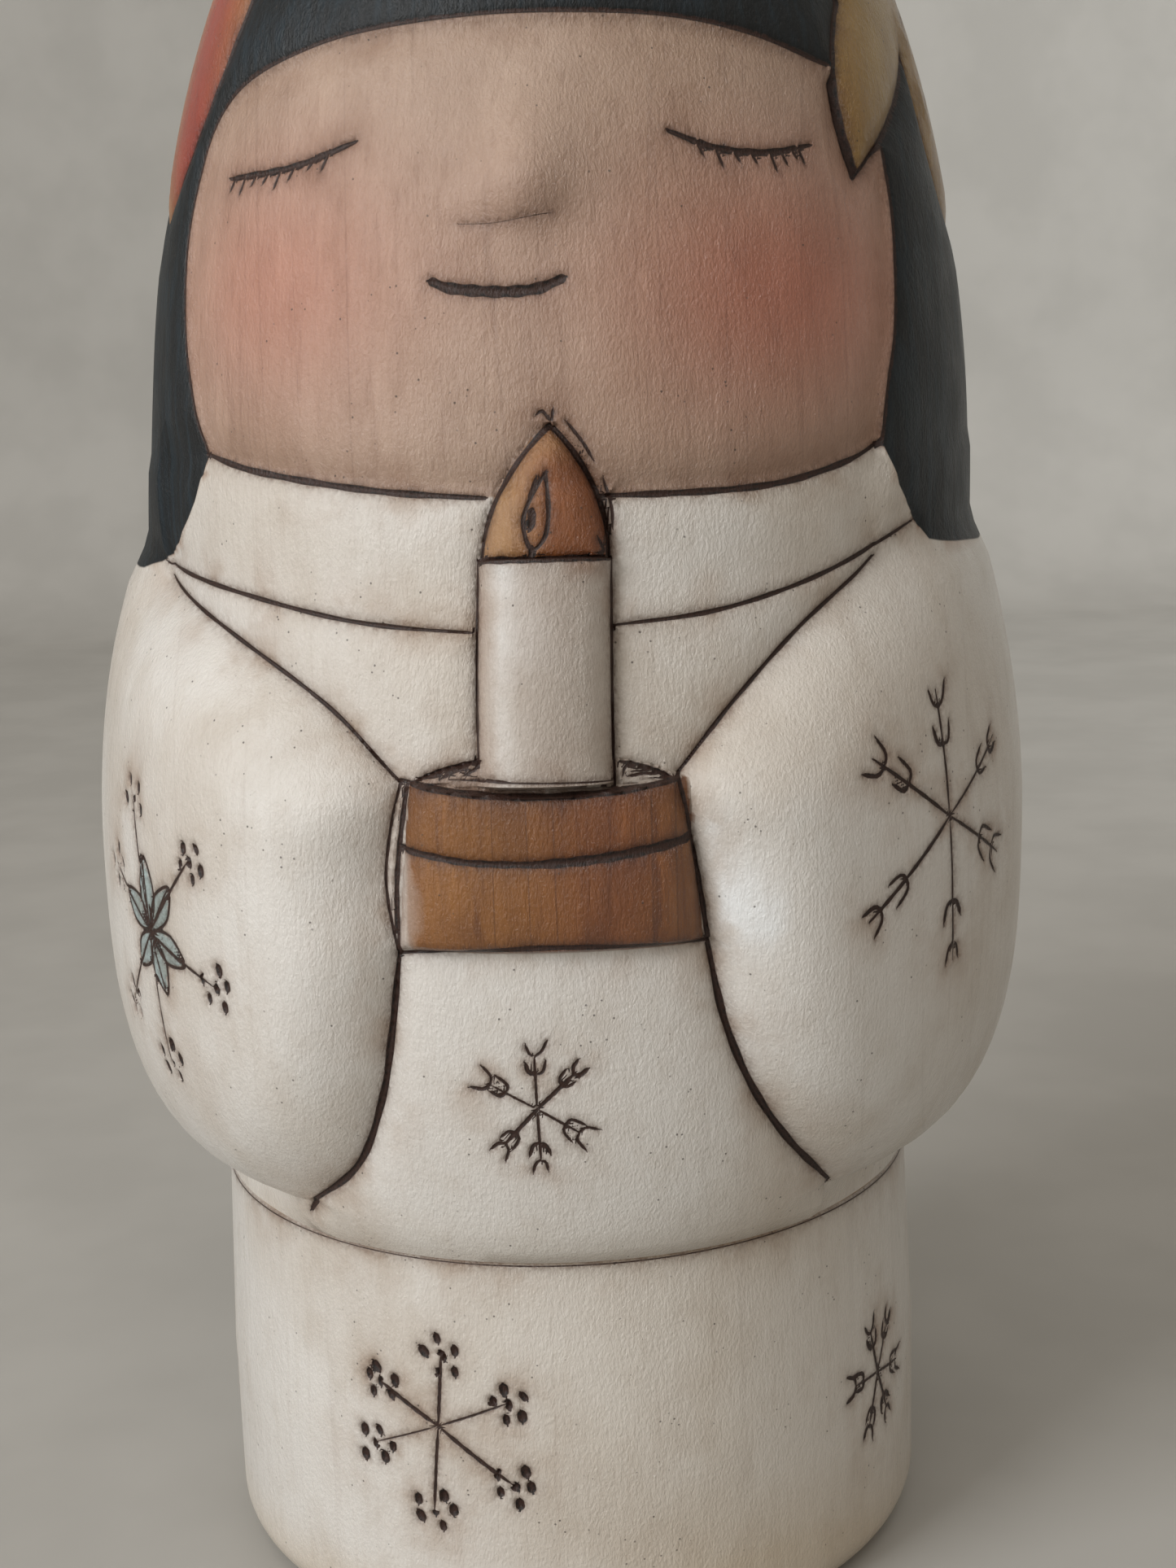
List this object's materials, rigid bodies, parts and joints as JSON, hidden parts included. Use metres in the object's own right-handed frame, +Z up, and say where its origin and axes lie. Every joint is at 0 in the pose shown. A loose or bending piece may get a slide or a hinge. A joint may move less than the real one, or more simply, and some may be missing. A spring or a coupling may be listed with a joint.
{
  "type": "nesting doll",
  "caption": "Carved and painted wooden nesting doll: a girl holding a candle. Its halves part at a turned seam, and smaller dolls stand one inside the next.",
  "frame": {"origin": "centre of the flat base of the outer doll's lower half", "axes": "+Z up along the turning axis, -Y the way the girl faces, +X to the right of someone looking at her face"},
  "size_m": [0.1156, 0.1054, 0.226],
  "materials": {
    "painted_dress": "thin off-white paint over limewood, satin varnish, burnt snowflakes",
    "painted_figure": "limewood face, black hair, autumn leaf cap and off-white dress in thin paint, burnt lines, satin varnish",
    "painted_solid": "the same paint and varnish on the smallest doll"
  },
  "bodies": {
    "doll_1_lower": {"doll_1_lower_half": "painted_dress"},
    "doll_2_lower": {"doll_2_lower_half": "painted_dress"},
    "doll_3_lower": {"doll_3_lower_half": "painted_dress"},
    "doll_4_lower": {"doll_4_lower_half": "painted_dress"},
    "doll_5": {"doll_5": "painted_solid"},
    "doll_4_upper": {"doll_4_upper_half": "painted_figure"},
    "doll_3_upper": {"doll_3_upper_half": "painted_figure"},
    "doll_2_upper": {"doll_2_upper_half": "painted_figure"},
    "doll_1_upper": {"doll_1_upper_half": "painted_figure"}
  },
  "joints": [
    {"name": "lift_doll_2_out", "type": "slide", "parent": "doll_1_lower", "child": "doll_2_lower", "axis": [0, 0, 1], "range_m": [0, 0.06]},
    {"name": "lift_doll_3_out", "type": "slide", "parent": "doll_2_lower", "child": "doll_3_lower", "axis": [0, 0, 1], "range_m": [0, 0.045]},
    {"name": "lift_doll_4_out", "type": "slide", "parent": "doll_3_lower", "child": "doll_4_lower", "axis": [0, 0, 1], "range_m": [0, 0.035]},
    {"name": "lift_doll_5_out", "type": "slide", "parent": "doll_4_lower", "child": "doll_5", "axis": [0, 0, 1], "range_m": [0, 0.027]},
    {"name": "lift_doll_4_top", "type": "slide", "parent": "doll_5", "child": "doll_4_upper", "axis": [0, 0, 1], "range_m": [0, 0.054]},
    {"name": "lift_doll_3_top", "type": "slide", "parent": "doll_4_upper", "child": "doll_3_upper", "axis": [0, 0, 1], "range_m": [0, 0.074]},
    {"name": "lift_doll_2_top", "type": "slide", "parent": "doll_3_upper", "child": "doll_2_upper", "axis": [0, 0, 1], "range_m": [0, 0.098]},
    {"name": "lift_doll_1_top", "type": "slide", "parent": "doll_2_upper", "child": "doll_1_upper", "axis": [0, 0, 1], "range_m": [0, 0.13]}
  ]
}
